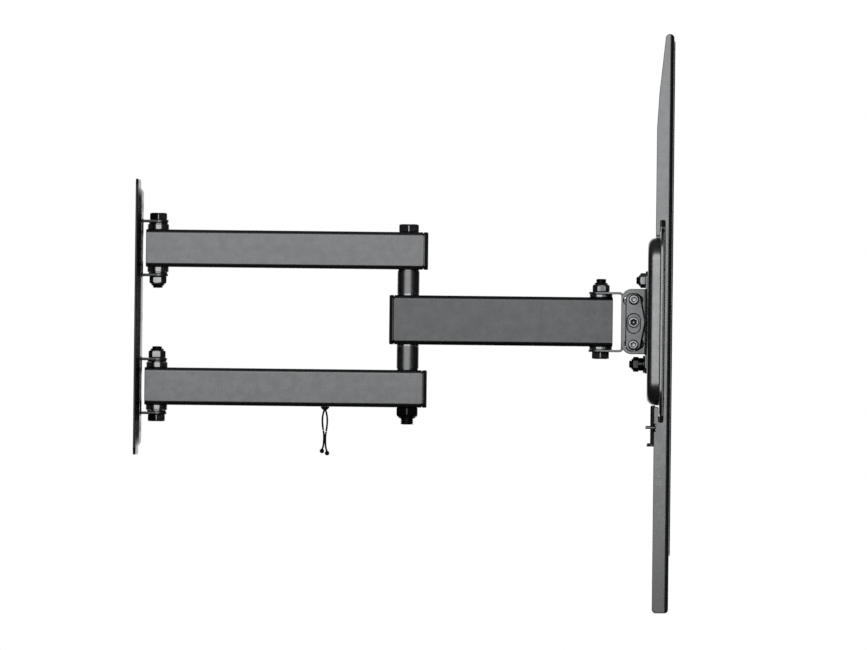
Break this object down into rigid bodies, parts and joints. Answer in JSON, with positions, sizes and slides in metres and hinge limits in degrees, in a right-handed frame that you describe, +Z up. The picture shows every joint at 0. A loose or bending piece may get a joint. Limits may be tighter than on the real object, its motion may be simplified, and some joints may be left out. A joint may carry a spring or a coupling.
{
  "type": "swivel tv wall mount",
  "caption": "Full-motion wall mount for a flat screen: wall plate, swinging double arm, forearm, tilting head and two sliding upright rails.",
  "frame": {"origin": "centre of the wall plate, on the wall plane", "axes": "+X out from the wall to the screen, +Z up, Y along the wall"},
  "size_m": [0.4086, 0.444, 0.4343],
  "materials": {
    "powder_coated_steel": "satin black powder coat",
    "black_zinc": "black zinc plating",
    "moulded_nylon": "moulded black nylon"
  },
  "bodies": {
    "wall": {"wall_plate": "powder_coated_steel", "upper_pivot_bolt": "black_zinc", "lower_pivot_bolt": "black_zinc", "upper_pivot_nut": "black_zinc", "lower_pivot_nut": "black_zinc", "pivot_washers": "black_zinc"},
    "arms": {"upper_arm": "powder_coated_steel", "lower_arm": "powder_coated_steel", "upper_arm_bushings": "black_zinc", "lower_arm_bushings": "black_zinc", "arm_pivot_sleeves": "black_zinc", "arm_elbow_sleeves": "black_zinc", "upper_arm_cap": "moulded_nylon", "lower_arm_cap": "moulded_nylon", "elbow_bolt": "black_zinc", "elbow_nut": "black_zinc", "elbow_washers": "black_zinc", "upper_elbow_spacer": "black_zinc", "lower_elbow_spacer": "black_zinc", "cable_clip": "moulded_nylon"},
    "forearm": {"forearm": "powder_coated_steel", "forearm_cap": "moulded_nylon", "forearm_elbow_bushings": "black_zinc", "forearm_elbow_sleeve": "black_zinc", "forearm_swivel_bushings": "black_zinc", "forearm_swivel_sleeve": "black_zinc"},
    "yoke": {"swivel_yoke": "powder_coated_steel", "swivel_bolt": "black_zinc", "swivel_nut": "black_zinc", "tilt_bolt": "black_zinc", "tilt_nut": "black_zinc", "tilt_screws": "black_zinc", "tilt_screw_nuts": "black_zinc", "friction_washers": "moulded_nylon", "near_clamp_plate": "powder_coated_steel", "far_clamp_plate": "powder_coated_steel"},
    "tilt_head": {"tilt_bracket": "powder_coated_steel", "level_pivot": "black_zinc", "upper_level_bolt": "black_zinc", "lower_level_bolt": "black_zinc", "upper_level_nut": "black_zinc", "lower_level_nut": "black_zinc", "level_washers": "black_zinc"},
    "cross": {"cross_plate": "powder_coated_steel"},
    "left_rail": {"left_rail": "powder_coated_steel"},
    "right_rail": {"right_rail": "powder_coated_steel"},
    "left_lock": {"left_lock_screw": "black_zinc"},
    "right_lock": {"right_lock_screw": "black_zinc"}
  },
  "joints": [
    {"name": "arm_swing", "type": "hinge", "parent": "wall", "child": "arms", "pos_m": [0.0167, 0, 0], "axis": [0, 0, 1], "range_deg": [-90, 90]},
    {"name": "elbow", "type": "hinge", "parent": "arms", "child": "forearm", "pos_m": [0.2075, 0, 0], "axis": [0, 0, -1], "range_deg": [-135, 135]},
    {"name": "head_swivel", "type": "hinge", "parent": "forearm", "child": "yoke", "pos_m": [0.3542, 0, 0], "axis": [0, 0, 1], "range_deg": [-90, 90]},
    {"name": "head_tilt", "type": "hinge", "parent": "yoke", "child": "tilt_head", "pos_m": [0.3793, 0, 0], "axis": [0, 1, 0], "range_deg": [-10, 15]},
    {"name": "head_level", "type": "hinge", "parent": "tilt_head", "child": "cross", "pos_m": [0.3898, 0, 0], "axis": [1, 0, 0], "range_deg": [-3, 3]},
    {"name": "left_rail_slide", "type": "slide", "parent": "cross", "child": "left_rail", "axis": [0, 1, 0], "range_m": [0, 0.1]},
    {"name": "right_rail_slide", "type": "slide", "parent": "cross", "child": "right_rail", "axis": [0, -1, 0], "range_m": [0, 0.1]},
    {"name": "left_lock_travel", "type": "slide", "parent": "left_rail", "child": "left_lock", "axis": [0, 0, -1], "range_m": [0, 0.012]},
    {"name": "right_lock_travel", "type": "slide", "parent": "right_rail", "child": "right_lock", "axis": [0, 0, -1], "range_m": [0, 0.012]}
  ]
}
